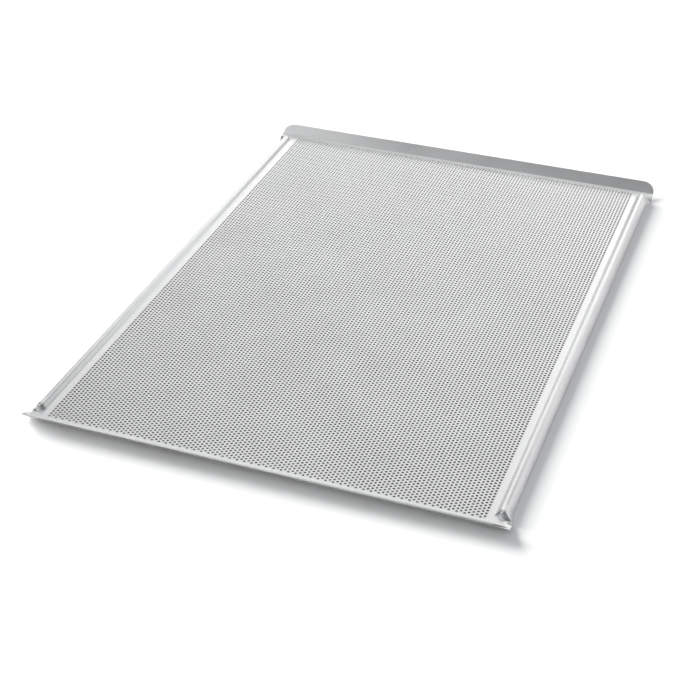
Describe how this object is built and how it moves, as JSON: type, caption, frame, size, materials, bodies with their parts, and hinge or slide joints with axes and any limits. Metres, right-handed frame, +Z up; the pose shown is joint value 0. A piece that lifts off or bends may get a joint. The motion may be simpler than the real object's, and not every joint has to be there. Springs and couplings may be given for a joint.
{
  "type": "baguette tray",
  "caption": "Flat perforated aluminium baking tray with pinched side ribs and folded-up end lips with rounded corners.",
  "frame": {"origin": "on the table, under the middle of the tray", "axes": "+X across the tray towards the right rib, +Y along the tray towards the rear lip, +Z up"},
  "size_m": [0.457, 0.6546, 0.0151],
  "materials": {
    "aluminium_sheet": "satin, bare"
  },
  "bodies": {
    "root": {"perforated_deck": "aluminium_sheet", "left_edge_rib": "aluminium_sheet", "right_edge_rib": "aluminium_sheet", "front_lip": "aluminium_sheet", "rear_lip": "aluminium_sheet", "front_left_corner": "aluminium_sheet", "front_right_corner": "aluminium_sheet", "rear_left_corner": "aluminium_sheet", "rear_right_corner": "aluminium_sheet"}
  },
  "joints": []
}
